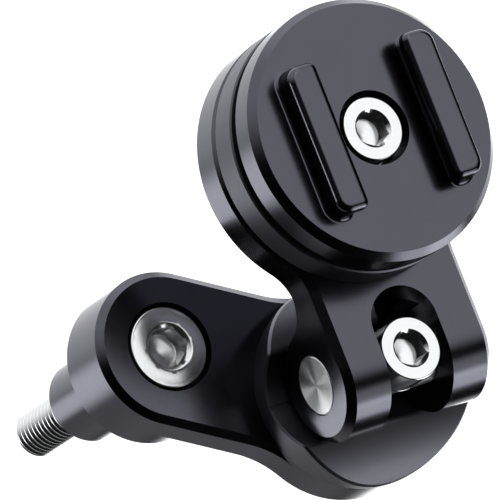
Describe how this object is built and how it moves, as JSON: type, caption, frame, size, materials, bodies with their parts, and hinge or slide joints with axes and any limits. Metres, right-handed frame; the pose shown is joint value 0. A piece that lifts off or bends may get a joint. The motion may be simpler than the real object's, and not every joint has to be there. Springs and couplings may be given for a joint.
{
  "type": "phone mount",
  "caption": "Black anodised bolt-on phone mount: spacer and arm on an M8 screw, a swivel and tilt hinge clamped by one screw, and a round twist-lock plate with two rails.",
  "frame": {"origin": "centre of the spacer sleeve's lower seat face, on the main screw's axis", "axes": "+Z along the main screw towards its head, +X along the arm from the main screw to the swivel axis"},
  "size_m": [0.0601, 0.0661, 0.0888],
  "materials": {
    "anodised_black": "satin",
    "stainless_screw": "brushed",
    "thread_steel": "satin",
    "black_washer": "satin",
    "rubber_black": "matte"
  },
  "bodies": {
    "base": {"main_bolt": "stainless_screw", "spacer_sleeve": "anodised_black"},
    "arm_body": {"arm": "anodised_black", "arm_thread_insert": "thread_steel", "swivel_washer": "black_washer"},
    "saddle_body": {"saddle": "anodised_black", "pivot_pin": "stainless_screw", "clamp_bolt": "stainless_screw", "clamp_bolt_washer": "stainless_screw"},
    "bracket_body": {"fork_bracket": "anodised_black", "bracket_thread_insert": "thread_steel"},
    "head_body": {"damper_base": "anodised_black", "damping_pad": "rubber_black", "isolator_grommets": "rubber_black", "retaining_screws": "stainless_screw", "mount_plate": "anodised_black", "centre_bolt": "stainless_screw", "centre_washer": "stainless_screw"}
  },
  "joints": [
    {"name": "arm_swing", "type": "hinge", "parent": "base", "child": "arm_body", "pos_m": [0, 0, 0.0297], "axis": [0, 0, 1], "continuous": true},
    {"name": "head_swivel", "type": "hinge", "parent": "arm_body", "child": "saddle_body", "pos_m": [0.0304, 0, 0.0297], "axis": [0, 0, 1], "continuous": true},
    {"name": "head_tilt", "type": "hinge", "parent": "saddle_body", "child": "bracket_body", "pos_m": [0.0304, 0, 0.044], "axis": [0.8771, 0.4802, 0], "range_deg": [-20, 90]},
    {"name": "head_turn", "type": "hinge", "parent": "bracket_body", "child": "head_body", "pos_m": [0.01489, 0.02833, 0.0534], "axis": [0, 0, 1], "continuous": true}
  ]
}
